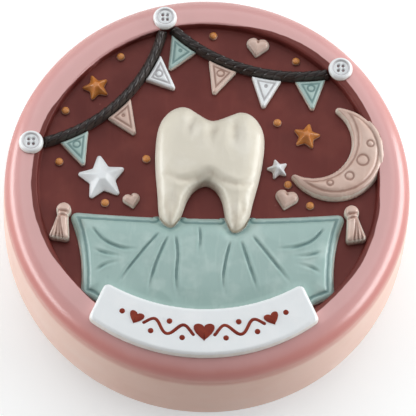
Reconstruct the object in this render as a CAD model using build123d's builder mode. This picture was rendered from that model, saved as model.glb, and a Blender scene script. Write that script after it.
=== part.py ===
from build123d import *
import os
from math import asin, cos, degrees, radians, sin

os.makedirs("parts", exist_ok=True)

# Round keepsake box in millimetres, standing on z = 0, with its picture upright along +Y

# Lid, seen from outside
lid_radius = 30.0
lid_edge = 0.6              # straight wall above the seam
shoulder_radius = 3.4       # round from the wall up to the crown of the rim
step_width = 1.8            # soft step from the crown down to the sunk field
step_drop = 1.65
panel_thickness = 0.9       # the dark field is a thin disc let into the lid
panel_fit = 0.05

# Lid, seen from below
plate_sink = 0.6            # underside of the plate lies this far below the seam
ring_depth = 2.6            # locating ring that drops into the mouth of the cup
ring_wall = 2.0
ring_round = 0.4

# Base cup
seam_height = 18.0
belly = 0.5                 # the wall swells this much below the seam
foot_radius = 6.0           # round from the wall to the flat underside
cup_wall = 3.2              # wall at the mouth
cup_floor = 3.0
cup_corner = 3.0            # round inside, between floor and wall
rim_round = 0.3

# Clearances
seat_gap = 0.15             # between cup and lid at the seam
mouth_gap = 0.3             # between locating ring and mouth
bond_gap = 0.05             # under relief that lies over the rim
relief_gap = 0.08           # between neighbouring relief pieces

# Heights of the relief over the field
banner_height = 3.2
pillow_height = 2.3
tooth_height = 3.6
moon_height = 2.4
star_height = 1.7
heart_height = 1.4
dot_height = 0.8
cord_height = 2.1
button_height = 2.6
pennant_height = 1.3
tassel_height = 2.2

# Levels and radii that follow from the sizes above
lid_bottom = seam_height + seat_gap
shoulder_base = lid_bottom + lid_edge
crown_height = shoulder_base + shoulder_radius
crown_radius = lid_radius - shoulder_radius
field_height = crown_height - step_drop
field_radius = crown_radius - step_width / 2
flat_radius = crown_radius - step_width
recess_floor = field_height - panel_thickness
mouth_radius = lid_radius - cup_wall
ring_radius = mouth_radius - mouth_gap
belly_radius = lid_radius + belly

# The step is two equal arcs that meet halfway, round over and then hollow
step_radius = (step_width ** 2 + step_drop ** 2) / (4 * step_drop)
step_turn = degrees(asin(step_width / 2 / step_radius))

quarter = 90
half_turn = 180
field = Plane.XY.offset(field_height)


def at_angle(radius, angle):
    return radius * cos(radians(angle)), radius * sin(radians(angle))


def rim_outline(gap):
    # shoulder, crown and the round half of the step, raised by a gap
    CenterArc((crown_radius, shoulder_base), shoulder_radius + gap, 0, quarter)
    CenterArc((crown_radius, crown_height - step_radius), step_radius + gap, quarter, step_turn)


# Base cup, turned from one half section
with BuildPart() as base_cup:
    with BuildSketch(Plane.XZ):
        with BuildLine():
            Line((0, 0), (belly_radius - foot_radius, 0))
            CenterArc((belly_radius - foot_radius, foot_radius), foot_radius, -quarter, quarter)
            TangentArc((belly_radius, foot_radius), (lid_radius, seam_height), tangent=(0, 1))
            Polyline(
                (lid_radius, seam_height),
                (mouth_radius, seam_height),
                (mouth_radius, cup_floor + cup_corner),
            )
            CenterArc((mouth_radius - cup_corner, cup_floor + cup_corner), cup_corner, 0, -quarter)
            Polyline((mouth_radius - cup_corner, cup_floor), (0, cup_floor), (0, 0))
        make_face()
    revolve(axis=Axis.Z)
    fillet(base_cup.edges().filter_by(GeomType.CIRCLE).group_by(Axis.Z)[-1], rim_round)

# Lid shell with its sunk field on top and its locating ring below
with BuildPart() as lid_shell:
    with BuildSketch(Plane.XZ):
        with BuildLine():
            Line((lid_radius, lid_bottom), (lid_radius, shoulder_base))
            rim_outline(0)
            Polyline(
                (field_radius, crown_height - step_drop / 2),
                (field_radius, recess_floor),
                (0, recess_floor),
                (0, lid_bottom - plate_sink),
                (ring_radius - ring_wall, lid_bottom - plate_sink),
                (ring_radius - ring_wall, lid_bottom - ring_depth),
                (ring_radius, lid_bottom - ring_depth),
                (ring_radius, lid_bottom),
                (lid_radius, lid_bottom),
            )
        make_face()
    revolve(axis=Axis.Z)
    fillet(lid_shell.edges().filter_by(GeomType.CIRCLE).group_by(Axis.Z)[0], ring_round)

# Dark field, a disc whose edge turns up into the step
panel_radius = field_radius - panel_fit
panel_turn = degrees(asin((panel_radius - flat_radius) / step_radius))
with BuildPart() as ground_panel:
    with BuildSketch(Plane.XZ):
        with BuildLine():
            Line((0, field_height), (flat_radius, field_height))
            turned_up = CenterArc(
                (flat_radius, field_height + step_radius), step_radius, -quarter, panel_turn
            )
            Polyline(
                turned_up @ 1,
                (panel_radius, recess_floor),
                (0, recess_floor),
                (0, field_height),
            )
        make_face()
    revolve(axis=Axis.Z)

# What the relief may not enter: everything under the top of the lid
with BuildPart() as bed:
    with BuildSketch(Plane.XZ):
        with BuildLine():
            Line((lid_radius + bond_gap, seam_height), (lid_radius + bond_gap, shoulder_base))
            rim_outline(bond_gap)
            CenterArc(
                (flat_radius, field_height + step_radius),
                step_radius - bond_gap,
                -quarter,
                step_turn,
            )
            Polyline(
                (flat_radius, field_height + bond_gap),
                (flat_radius, field_height),
                (0, field_height),
                (0, seam_height),
                (lid_radius + bond_gap, seam_height),
            )
        make_face()
    revolve(axis=Axis.Z)

pieces = {"base_cup": base_cup, "lid_shell": lid_shell, "ground_panel": ground_panel}


def round_top(piece, radius):
    fillet(piece.faces().sort_by(Axis.Z)[-1].outer_wire().edges(), radius)


# Banner, a smile-shaped plaque at the front that lies over the rim
banner_inset = 2.5          # its front edge lies this far inside the edge of the lid
banner_depth = 7.2          # front to back in its middle
banner_end_depth = 5.9
banner_aside = 0.6          # it sits this far left of the middle
banner_half_angle = 37.3    # of the front edge, seen from the middle of its curve
banner_back_half_angle = 41.0
banner_corner = 0.8
banner_round = 0.5
banner_outer = lid_radius - banner_inset
banner_inner_middle = banner_outer - banner_depth
banner_inner_end = banner_outer - banner_end_depth


def banner_outline():
    front_left = at_angle(banner_outer, -quarter - banner_half_angle)
    front_right = at_angle(banner_outer, -quarter + banner_half_angle)
    back_left = at_angle(banner_inner_end, -quarter - banner_back_half_angle)
    back_right = at_angle(banner_inner_end, -quarter + banner_back_half_angle)
    with BuildLine() as outline:
        ThreePointArc(front_left, (0, -banner_outer), front_right)
        Line(front_right, back_right)
        ThreePointArc(back_right, (0, -banner_inner_middle), back_left)
        Line(back_left, front_left)
    with BuildSketch(mode=Mode.PRIVATE) as plaque:
        make_face(outline.edges())
    with Locations((-banner_aside, 0)):
        add(plaque.sketch)


with BuildPart() as banner:
    with BuildSketch(field) as banner_sketch:
        banner_outline()
        fillet(banner_sketch.vertices(), banner_corner)
    extrude(amount=banner_height)
    round_top(banner, banner_round)
    add(bed.part, mode=Mode.SUBTRACT)
pieces["banner"] = banner

# Tooth, a plump molar with two cusps and two roots, standing on the pillow
tooth_width = 16.0
tooth_length = 19.4
tooth_middle = 1.7          # how far its middle lies behind the middle of the lid
tooth_lean = -5.0
tooth_dome = 60.0           # radius of the domed front
tooth_round = 0.5
tooth_room_steps = 48       # points on the curve that leaves room for it in the pillow
tooth_place = Location((0, tooth_middle, 0), (0, 0, tooth_lean))
tooth_half_shares = [
    (0, 0.405), (0.27, 0.45), (0.56, 0.50), (0.87, 0.42), (1.0, 0.19), (0.95, -0.06), (0.86, -0.28),
    (0.76, -0.44), (0.60, -0.50), (0.45, -0.43), (0.35, -0.29), (0.20, -0.165), (0, -0.12),
]


def tooth_outline(gap):
    # one closed curve, down the right side and back up the left, widened by a gap
    shares = tooth_half_shares + [(-x, y) for x, y in tooth_half_shares[-2:0:-1]]
    points = [(x * tooth_width / 2, y * tooth_length) for x, y in shares]
    with BuildLine(mode=Mode.PRIVATE):
        edge = Spline(*points, periodic=True)
    places = [step / tooth_room_steps for step in range(tooth_room_steps)]
    spread = [edge @ place + (edge % place).rotate(Axis.Z, quarter) * gap for place in places]
    with BuildLine() as outline:
        Spline(*spread, periodic=True)
    with BuildSketch(mode=Mode.PRIVATE) as upright:
        make_face(outline.edges())
    with Locations(tooth_place):
        add(upright.sketch)


with BuildPart() as tooth:
    with BuildSketch(field):
        tooth_outline(0)
    extrude(amount=tooth_height)
    dome_centre = (0, tooth_middle, field_height + tooth_height - tooth_dome)
    with Locations(Location(dome_centre, (quarter, 0, 0))):
        Sphere(tooth_dome, mode=Mode.INTERSECT)
    round_top(tooth, tooth_round)
pieces["tooth"] = tooth

# Pillow under the tooth, with four drawn-out corners
pillow_side_room = 4.3      # from its back corners to the edge of the flat field
pillow_drop = 4.8           # its back lies this far in front of the middle of the lid
pillow_setback = 2.6        # its front corners lie this far behind the banner
pillow_hollow = 0.9         # back and sides curve in this much between the corners
pillow_swell = 3.6          # the front swells out as far as the banner
pillow_flare_share = 0.9    # the front side is this share of the back one
pillow_corner = 0.9
pillow_edge = 0.7           # height that the crown leaves at the swollen front
pillow_round = 0.6
pillow_width = 2 * (flat_radius - pillow_side_room)
pillow_back = -pillow_drop
pillow_front = pillow_setback - banner_inner_middle
pillow_middle = (pillow_back + pillow_front) / 2
pillow_reach = pillow_middle - pillow_front + pillow_swell
pillow_rise = pillow_height - pillow_edge
pillow_dome = (pillow_reach ** 2 + pillow_rise ** 2) / (2 * pillow_rise)
pillow_corners = [
    (-pillow_width / 2, pillow_back),
    (pillow_width / 2, pillow_back),
    (pillow_width / 2 * pillow_flare_share, pillow_front),
    (-pillow_width / 2 * pillow_flare_share, pillow_front),
]
with BuildPart() as pillow:
    with BuildSketch(field) as pillow_sketch:
        with BuildLine():
            bends = (-pillow_hollow, -pillow_hollow, pillow_swell, -pillow_hollow)
            ends = pillow_corners[1:] + pillow_corners[:1]
            for start, end, bend in zip(pillow_corners, ends, bends):
                SagittaArc(start, end, bend)
        make_face()
        fillet(pillow_sketch.vertices(), pillow_corner)
    extrude(amount=pillow_height)
    with Locations(
        Location((0, pillow_middle, field_height + pillow_height - pillow_dome), (0, quarter, 0))
    ):
        Cylinder(pillow_dome, pillow_width, mode=Mode.INTERSECT)
    round_top(pillow, pillow_round)
    add(bed.part, mode=Mode.SUBTRACT)
    with BuildSketch(field):
        banner_outline()
        offset(amount=relief_gap)
    extrude(amount=banner_height, mode=Mode.SUBTRACT)
    with BuildSketch(field):
        tooth_outline(relief_gap)
    extrude(amount=tooth_height, mode=Mode.SUBTRACT)
pieces["pillow"] = pillow

# Tassels at the back corners of the pillow: a round head and a flared skirt
tassel_head = 1.1
tassel_length = 4.6
tassel_skirt = 3.2
tassel_neck = 1.3
tassel_corner = 0.5
tassel_turn = 8.0           # each points this far outwards of straight down
for side, side_name in ((-1, "left"), (1, "right")):
    hang = -quarter + side * tassel_turn
    head_place = (side * (pillow_width / 2 + tassel_head / 2), pillow_back)
    with BuildPart() as tassel:
        with BuildSketch(field):
            with BuildSketch(mode=Mode.PRIVATE) as tassel_shape:
                Circle(tassel_head)
                with BuildLine():
                    Polyline(
                        (0, -tassel_neck / 2), (tassel_length, -tassel_skirt / 2),
                        (tassel_length, tassel_skirt / 2), (0, tassel_neck / 2), close=True,
                    )
                make_face()
                fillet(tassel_shape.vertices().sort_by(Axis.X)[-2:], tassel_corner)
            with Locations(Location((*head_place, 0), (0, 0, hang))):
                add(tassel_shape.sketch)
        extrude(amount=tassel_height)
        add(bed.part, mode=Mode.SUBTRACT)
        with BuildSketch(field):
            add(pillow_sketch.sketch_local)
            offset(amount=relief_gap)
        extrude(amount=pillow_height, mode=Mode.SUBTRACT)
    pieces["pillow_tassel_" + side_name] = tassel

# Crescent moon, lying over the rim on the right
moon_radius = 7.4
moon_reach_share = 0.745    # its middle, as a share of the field's radius
moon_angle = 14.0
moon_bite_radius = 5.9
moon_bite_reach = 3.7       # how far the bite is set off the middle of the moon
moon_bite_angle = 148.0
moon_tip = 0.45
moon_round = 0.6
moon_place = at_angle(field_radius * moon_reach_share, moon_angle)
bite_shift = at_angle(moon_bite_reach, moon_bite_angle)
with BuildPart() as moon:
    with BuildSketch(field) as moon_sketch:
        with Locations(moon_place):
            Circle(moon_radius)
        with Locations((moon_place[0] + bite_shift[0], moon_place[1] + bite_shift[1])):
            Circle(moon_bite_radius, mode=Mode.SUBTRACT)
        fillet(moon_sketch.vertices(), moon_tip)
    extrude(amount=moon_height)
    round_top(moon, moon_round)
    add(bed.part, mode=Mode.SUBTRACT)
pieces["moon"] = moon

# Stars: size, distance as a share of the field's radius, angle and turn
star_points = 5
star_waist_share = 0.5
star_tip_share = 0.09       # rounding of the points and of the top edge
star_large_radius = 4.0
star_middle_radius = 2.3
star_small_radius = 1.8
star_place_shares = [
    ("star_large", star_large_radius, 0.605, 178.0, 8.0),
    ("star_high", star_middle_radius, 0.87, 138.0, 20.0),
    ("star_in_moon", star_middle_radius, 0.64, 27.0, -12.0),
    ("star_by_tooth", star_small_radius, 0.41, 12.0, 15.0),
]
for name, radius, reach_share, angle, turn in star_place_shares:
    centre_x, centre_y = at_angle(field_radius * reach_share, angle)
    corners = []
    for corner in range(2 * star_points):
        length = radius if corner % 2 == 0 else radius * star_waist_share
        x, y = at_angle(length, quarter + turn + corner * half_turn / star_points)
        corners.append((centre_x + x, centre_y + y))
    with BuildPart() as star:
        with BuildSketch(field) as star_sketch:
            with BuildLine():
                Polyline(*corners, close=True)
            make_face()
            fillet(star_sketch.vertices(), radius * star_tip_share)
        extrude(amount=star_height)
        round_top(star, radius * star_tip_share)
        add(bed.part, mode=Mode.SUBTRACT)
    pieces[name] = star

# Hearts: a square on its corner with a round lobe on each upper side
heart_round = 0.3
heart_large_side = 2.0
heart_small_side = 1.5
heart_place_shares = [
    ("heart_left", heart_small_side, 0.45, 196.0, 12.0),
    ("heart_right", heart_large_side, 0.46, -14.0, -14.0),
    ("heart_high", heart_large_side, 0.885, 71.0, -10.0),
]
for name, side, reach_share, angle, turn in heart_place_shares:
    centre_x, centre_y = at_angle(field_radius * reach_share, angle)
    lobe = side / 2 * sin(radians(half_turn / 4))
    with BuildPart() as heart:
        with BuildSketch(field):
            with BuildSketch(mode=Mode.PRIVATE) as heart_shape:
                Rectangle(side, side, rotation=half_turn / 4)
                with Locations((-lobe, lobe), (lobe, lobe)):
                    Circle(side / 2)
            with Locations(Location((centre_x, centre_y, 0), (0, 0, turn))):
                add(heart_shape.sketch)
        extrude(amount=heart_height)
        round_top(heart, heart_round)
        add(bed.part, mode=Mode.SUBTRACT)
    pieces[name] = heart

# Buttons that hold up the garland, on the crown of the rim
button_radius = 1.8
button_round = 0.5
button_places = {
    "garland_button_left": at_angle(crown_radius, 168.0),
    "garland_button_top": at_angle(crown_radius, 104.0),
    "garland_button_right": at_angle(crown_radius, 42.0),
}
for name, place in button_places.items():
    with BuildPart() as button:
        with BuildSketch(field):
            with Locations(place):
                Circle(button_radius)
        extrude(amount=button_height)
        round_top(button, button_round)
        add(bed.part, mode=Mode.SUBTRACT)
    pieces[name] = button

# Garland cord in two swags between the buttons
cord_width = 1.5
cord_round = 0.5
left_sag = 4.4
right_sag = 3.9
left_swag = SagittaArc(
    button_places["garland_button_left"], button_places["garland_button_top"], -left_sag
)
right_swag = SagittaArc(
    button_places["garland_button_top"], button_places["garland_button_right"], -right_sag
)
with BuildPart() as garland_cord:
    for swag in (left_swag, right_swag):
        with BuildSketch(field):
            trace(swag, cord_width)
            with Locations(*button_places.values()):
                Circle(button_radius + relief_gap, mode=Mode.SUBTRACT)
        extrude(amount=cord_height)
    for strand in garland_cord.solids():
        long_edges = strand.faces().sort_by(Axis.Z)[-1].edges().sort_by(SortBy.LENGTH)[-2:]
        fillet(long_edges, cord_round)
    add(bed.part, mode=Mode.SUBTRACT)
pieces["garland_cord"] = garland_cord

# Pennants hung along the cord, turned most of the way with its slope
pennant_width = 5.2
pennant_length = 5.9
pennant_corner = 0.35
pennant_follow_share = 0.75
left_pennant_shares = [0.21, 0.47, 0.74]
right_pennant_shares = [0.16, 0.39, 0.62, 0.84]
hangs = [(left_swag, share) for share in left_pennant_shares]
hangs += [(right_swag, share) for share in right_pennant_shares]
for count, (swag, share) in enumerate(hangs, 1):
    top = swag @ share
    slope = swag % share
    turn = pennant_follow_share * degrees(asin(slope.Y))
    with BuildPart() as pennant:
        with BuildSketch(field):
            with BuildSketch(mode=Mode.PRIVATE) as flag:
                with BuildLine():
                    Polyline(
                        (-pennant_width / 2, 0), (pennant_width / 2, 0),
                        (0, -pennant_length), close=True,
                    )
                make_face()
                fillet(flag.vertices(), pennant_corner)
            with Locations(Location((top.X, top.Y, 0), (0, 0, turn))):
                add(flag.sketch)
            trace(swag, cord_width + 2 * relief_gap, mode=Mode.SUBTRACT)
        extrude(amount=pennant_height)
        add(bed.part, mode=Mode.SUBTRACT)
    pieces["pennant_" + str(count)] = pennant

# Small round dots scattered over the field: distance as a share of its radius, and angle
dot_radius = 0.62
dot_place_shares = [
    (0.38, 158.0), (0.60, 192.5), (0.86, 172.0), (0.93, 123.0), (0.93, 152.0), (0.92, 88.0),
    (0.55, 43.0), (0.46, -1.0), (0.60, -13.0), (0.92, 56.0),
]
with BuildPart() as gold_dots:
    with BuildSketch(field):
        with Locations(*[at_angle(field_radius * share, angle) for share, angle in dot_place_shares]):
            Circle(dot_radius)
    extrude(amount=dot_height)
pieces["gold_dots"] = gold_dots

for name, piece in pieces.items():
    piece.part.label = name
    export_step(piece.part, "parts/" + name + ".step")
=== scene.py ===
import math

import bpy
import numpy as np
from mathutils import Matrix, Vector, noise
from mathutils.kdtree import KDTree


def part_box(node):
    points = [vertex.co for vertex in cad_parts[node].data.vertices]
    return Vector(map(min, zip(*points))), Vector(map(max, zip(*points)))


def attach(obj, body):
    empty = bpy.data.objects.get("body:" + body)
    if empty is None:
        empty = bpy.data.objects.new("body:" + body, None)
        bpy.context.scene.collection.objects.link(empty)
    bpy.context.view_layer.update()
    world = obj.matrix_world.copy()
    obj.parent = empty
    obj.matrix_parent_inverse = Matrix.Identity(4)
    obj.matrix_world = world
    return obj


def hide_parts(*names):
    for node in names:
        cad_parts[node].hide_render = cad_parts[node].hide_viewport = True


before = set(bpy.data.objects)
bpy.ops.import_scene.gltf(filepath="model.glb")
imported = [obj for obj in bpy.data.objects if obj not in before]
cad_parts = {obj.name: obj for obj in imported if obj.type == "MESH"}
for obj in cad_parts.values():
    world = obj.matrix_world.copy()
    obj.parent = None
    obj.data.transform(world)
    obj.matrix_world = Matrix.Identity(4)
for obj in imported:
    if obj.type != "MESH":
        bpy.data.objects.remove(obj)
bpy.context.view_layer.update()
print("frame loaded with", len(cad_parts), "nodes")

mm = 0.001
up = Vector((0, 0, 1))


def boxOf(node):
    # low and high corner in millimetres
    low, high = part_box(node)
    return np.array(low) / mm, np.array(high) / mm


def middleAndSize(node):
    low, high = boxOf(node)
    return (low + high) / 2, high - low


def around(radius, angle):
    return np.array((radius * math.cos(math.radians(angle)), radius * math.sin(math.radians(angle))))


cupHigh = boxOf("base_cup")[1]
lidLow, lidHigh = boxOf("lid_shell")
shell = dict(
    seam=cupHigh[2],
    edge=lidHigh[0],  # radius of the lid
    crownTop=lidHigh[2],
    ringFoot=lidLow[2],
    belly=cupHigh[0],
    seat=0.03,  # lid and cup touch as far as the eye can tell
    lip=0.03,  # the edge stands out this much under the shoulder
    lipSteps=(0.35, 0.6, 0.8, 1.0), shoulder=3.4, stepWide=1.8, stepDrop=1.65,
    ledge=25.0,  # radius of the low wall between rim and field
    ledgeRound=0.5, ledgeHollow=0.4, fieldThick=0.9,
    overlap=0.02,  # the field reaches this far into the lid
    underside=0.45,  # underside of the plate below the seam
    ringWall=2.0, mouth=3.2, mouthGap=0.3, foot=6.0, floor=3.0, corner=3.0, rimRound=0.06,
    ringRound=0.4, steps=288,
    sharp=38,  # edges over this angle stay sharp
)
shell["crown"] = shell["edge"] - shell["shoulder"]
shell["field"] = shell["crownTop"] - shell["stepDrop"]
shell["flat"] = shell["crown"] - shell["stepWide"]
shell["middle"] = shell["crown"] - shell["stepWide"] / 2
shell["stepRound"] = (shell["stepWide"] ** 2 + shell["stepDrop"] ** 2) / (4 * shell["stepDrop"])
shell["shoulderFoot"] = shell["crownTop"] - shell["shoulder"]


# Shader helpers: sums of sockets, and one method that adds any node

class Wire:
    def __init__(self, nodes, socket):
        self.nodes = nodes
        self.socket = socket

    def __add__(self, other):
        return self.nodes.maths("ADD", self, other)

    def __sub__(self, other):
        return self.nodes.maths("SUBTRACT", self, other)

    def __rsub__(self, other):
        return self.nodes.maths("SUBTRACT", other, self)

    def __mul__(self, other):
        return self.nodes.maths("MULTIPLY", self, other)

    def __truediv__(self, other):
        return self.nodes.maths("DIVIDE", self, other)

    __radd__ = __add__
    __rmul__ = __mul__


class Nodes:
    def __init__(self, tree):
        self.tree = tree

    def node(self, kind, settings=None, inputs=None, output=0):
        made = self.tree.nodes.new(kind)
        for name, value in (settings or {}).items():
            setattr(made, name, value)
        for key, value in (inputs or {}).items():
            self.join(value, made.inputs[key])
        return Wire(self, made.outputs[output])

    def join(self, value, socket):
        if isinstance(value, Wire):
            self.tree.links.new(value.socket, socket)
        else:
            socket.default_value = value

    def maths(self, operation, *values):
        return self.node("ShaderNodeMath", {"operation": operation}, dict(enumerate(values)))

    def seenApart(self, lights, shows, last):
        # one shader lights the scene, the other is what the camera, gloss and glass see
        seen = self.node("ShaderNodeLightPath", output="Is Camera Ray")
        for ray in ("Is Glossy Ray", "Is Transmission Ray"):
            seen = self.maths("MAXIMUM", seen, self.node("ShaderNodeLightPath", output=ray))
        mixed = self.node("ShaderNodeMixShader", inputs={0: seen, 1: lights, 2: shows})
        self.join(mixed, self.tree.nodes[last].inputs["Surface"])


class Paint(Nodes):
    def __init__(self, name, colours=None):
        self.material = bpy.data.materials.new(name)
        self.material.use_nodes = True
        super().__init__(self.material.node_tree)
        self.shader = self.tree.nodes["Principled BSDF"]
        here = self.node("ShaderNodeTexCoord", output="Object")
        self.place = self.node("ShaderNodeMapping", inputs={"Vector": here, "Scale": (1 / mm,) * 3})
        if colours:
            self.colour = self.brushwork(colours)

    def axes(self):
        # a point's three coordinates, and its distance from the upright axis
        x, y, z = [self.node("ShaderNodeSeparateXYZ", inputs={0: self.place}, output=name) for name in "XYZ"]
        return x, y, z, self.maths("SQRT", x * x + y * y)

    def between(self, value, low, high):
        inputs = {"Value": value, "From Min": low, "From Max": high}
        return self.node("ShaderNodeMapRange", {"interpolation_type": "SMOOTHSTEP"}, inputs)

    def blend(self, share, first, second):
        return self.node("ShaderNodeMix", {"data_type": "RGBA"}, {0: share, 6: first, 7: second}, 2)

    def cloud(self, size, detail=2.0, stretch=(1, 1, 1), turn=0.0):
        # soft noise whose blotches are about this many millimetres across
        inputs = {"Vector": self.place, "Scale": stretch, "Rotation": (0, 0, math.radians(turn))}
        where = self.node("ShaderNodeMapping", inputs=inputs)
        return self.node("ShaderNodeTexNoise", inputs={"Vector": where, "Scale": 1 / size, "Detail": detail})

    def wander(self, size, detail=2.0):
        # the same noise, to both sides of nought
        return self.cloud(size, detail) - 0.5

    def brushed(self, coarse, share, fine, stretch, turn=24):
        # soft unevenness with the marks of a brush in it
        return self.cloud(coarse, 3.0) * share + self.cloud(fine, 2.0, stretch, turn) * (1 - share)

    def carried(self, name):
        return self.node("ShaderNodeAttribute", {"attribute_name": name}, output="Fac")

    def brushwork(self, colours):
        # three shades laid over each other: soft clouds, then short brush strokes
        size = colours.get("brush", reliefFinish["brush"])
        clouds = self.cloud(size, 3.0)
        strokes = self.cloud(size * 0.22, 3.0, (1, 0.16, 0.5), 24)
        base = self.blend(self.between(clouds, 0.46, 0.72) * 0.55, colours["body"], colours["light"])
        third = colours.get("dark", colours["body"])
        base = self.blend(self.between(clouds, 0.46, 0.26) * 0.45, base, third)
        return self.blend(self.between(strokes, 0.52, 0.75) * 0.22, base, colours["light"])

    def lay(self, share, shade):
        # one more shade over the colour so far
        self.colour = self.blend(share, self.colour, shade)

    def speck(self, specks, shade):
        # sparse round specks, a share of the cells holding one
        size, share, strength = specks
        cell = {"Vector": self.place, "Scale": 1 / size}
        far = self.node("ShaderNodeTexVoronoi", inputs=cell, output="Distance")
        pick = self.node("ShaderNodeTexVoronoi", inputs=cell, output="Color")
        red = self.node("ShaderNodeSeparateColor", inputs={0: pick}, output=0)
        spots = self.between(far, 0.22, 0.10) * self.between(red, 1 - share, 1 - share + 0.02)
        self.lay(spots * strength, shade)

    def put(self, name, value):
        self.join(value, self.shader.inputs[name])

    def finish(self, roughness, height, bump, coat):
        self.put("Base Color", self.colour)
        self.put("Roughness", roughness)
        inputs = {"Height": height, "Strength": bump["strength"], "Distance": bump["depth"] * mm}
        self.put("Normal", self.node("ShaderNodeBump", inputs=inputs))
        self.put("Coat Weight", coat["weight"])
        self.put("Coat Roughness", coat["roughness"])
        self.put("Coat IOR", coat["bend"])
        self.put("Specular IOR Level", coat["gloss"])
        return self.material


def tint(red, green, blue):
    # a colour as read from a screen, 0 to 255, turned into linear light
    channels = [value / 255 for value in (red, green, blue)]
    linear = [c / 12.92 if c <= 0.04045 else ((c + 0.055) / 1.055) ** 2.4 for c in channels]
    return (*linear, 1.0)


# Colours of the paint, one entry for each finish in the record

reliefTints = {
    # body, light (also the painted highlight along the edges), wash (the darker groove colour, partly
    # painted shade), and how much of the bare cast shows on the sides
    "relief_white": ((237, 241, 245), (244, 246, 249), (176, 172, 176), 0.5),
    "relief_ivory": ((222, 215, 200), (234, 229, 218), (170, 148, 124), 0.5),
    "relief_sea_green": ((156, 184, 180), (186, 207, 203), (98, 130, 130), 0.9),
    "relief_blush": ((210, 179, 166), (224, 200, 189), (148, 110, 96), 0.9),
    "relief_brown": ((34, 24, 23), (66, 53, 51), (13, 8, 8), 0.05),
    "relief_mustard": ((198, 120, 52), (218, 154, 88), (140, 76, 32), 0.5),
}
bare = dict(resin=tint(236, 230, 218), darkResin=tint(196, 180, 164), mottle=4.0)
# brush is the size of the clouds in a paint; specks have a size, a share of cells and a strength
ground = dict(
    body=tint(110, 51, 47), light=tint(130, 66, 59), dark=tint(93, 39, 37),
    brush=5.0, specks=(1.0, 0.03, 0.14), patch=2.2, rough=0.46, bump=dict(strength=0.40, depth=0.03),
)
rose = dict(
    body=tint(207, 134, 128), light=tint(215, 150, 144), dark=tint(197, 121, 115),
    brush=9.0, specks=(1.5, 0.05, 0.15), patch=3.0, rough=0.36, bump=dict(strength=0.10, depth=0.03),
)
cream = dict(
    body=tint(243, 210, 198), light=tint(246, 219, 209), dark=tint(234, 195, 182),
    brush=8.0, specks=(1.7, 0.05, 0.15), patch=3.2, rough=0.44, bump=dict(strength=0.22, depth=0.03),
)
enamel = dict(
    body=tint(122, 38, 22), light=tint(148, 60, 36), dark=tint(100, 28, 18),
    brush=1.6, patch=0.8, rough=0.40, bump=dict(strength=0.3, depth=0.02),
)
satin = dict(weight=0.30, roughness=0.18, gloss=0.32, bend=1.5)
lacquer = dict(weight=1.0, roughness=0.25, gloss=0.06, bend=1.6)
matt = dict(weight=0.04, roughness=0.30, gloss=0.12, bend=1.5)
wax = dict(weight=0.50, roughness=0.10, gloss=0.04, bend=1.5)


def rawResin(paint, mottle=None, share=0.5):
    mottle = mottle or paint.cloud(bare["mottle"], 3.0)
    return paint.blend(paint.between(mottle, 0.4, 0.7) * share, bare["resin"], bare["darkResin"])


reliefFinish = dict(
    brush=3.4, patch=1.1,
    washAndShade=0.85,  # how dark the grooves are painted: partly a wash, partly painted shade
    edgeHighlight=0.45,  # how strong the painted highlight along the edges is
    bleedAndShadow=0.8,  # the dark field's paint has run up at the foot, also a painted shadow there
    specks=(1.6, 0.05, 0.12), rough=0.36, bump=dict(strength=0.35, depth=0.03),
)


def reliefPaint(name, colours, coat):
    plan = reliefFinish
    paint = Paint(name, colours)
    groove, edge, side, foot = [paint.carried(share) for share in ("groove", "edge", "side", "foot")]
    patch = paint.cloud(plan["patch"], 3.0)
    # the grooves darken to the wash colour: partly a wash, partly painted shade
    paint.lay(paint.between(groove + (patch - 0.5) * 0.5, 0.12, 0.85) * plan["washAndShade"], colours["wash"])
    # the edges turn to the light shade: a painted highlight
    paint.lay(paint.between(edge + (patch - 0.5) * 0.7, 0.35, 0.95) * plan["edgeHighlight"], colours["light"])
    uncovered = paint.between(side + paint.wander(2.3) * 0.9, 0.50, 0.72)
    paint.lay(uncovered * colours["chalk"], rawResin(paint, patch, 0.4))
    # the field's dark red up the foot: paint run up there, and a painted shadow at the foot
    bleedAndShadow = paint.between(foot + paint.wander(0.9) * 0.5, 0.42, 0.12)
    paint.lay(bleedAndShadow * plan["bleedAndShadow"], ground["body"])
    paint.speck(plan["specks"], colours["wash"])
    roughness = plan["rough"] + (patch - 0.5) * 0.16 + uncovered * 0.14 + groove * 0.10
    height = paint.brushed(0.55, 0.5, 0.30, (1, 0.2, 0.6))
    return paint.finish(roughness, height, plan["bump"], coat)


def groundPaint():
    paint = Paint("ground_paint", ground)
    paint.speck(ground["specks"], rose["body"])
    paint.colour = paint.blend(darkCover(paint), paint.brushwork(rose), paint.colour)
    roughness = ground["rough"] + paint.wander(ground["patch"], 3.0) * 0.18
    height = paint.brushed(0.7, 0.6, 0.35, (1, 0.12, 0.5))
    return paint.finish(roughness, height, ground["bump"], matt)


lidPaintPlan = dict(
    darkReach=25.10,  # the dark field paint runs up over the ledge as far as this
    darkHigh={40: 1.0, 180: 0.72, -40: 0.6},  # and further towards these angles
    darkWander=0.16,
    darkBase=20.3,  # only above this level
    paintBase=18.1,  # the rose coat ends a little under the edge of the lid
    paintWall=29.2,
    lacquerHigh=20.6,  # the lacquer thins out down the shoulder
    lacquerLow=18.7, lacquerThin=0.85,
    mist=0.50,  # rose and cream are misted into each other across the seam
    mistHigh=20.2, mistLow=16.6,
    paintedLightZones=[  # between two levels the rose turns to another, by a share, as painted light
        (20.5, 22.0, 0.55, tint(214, 170, 172)),  # paler on the crown of the rim: a painted highlight
        (21.4, 20.2, 0.55, tint(199, 114, 107)),  # deeper on its outer slope: a painted shade
    ],
)


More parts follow.
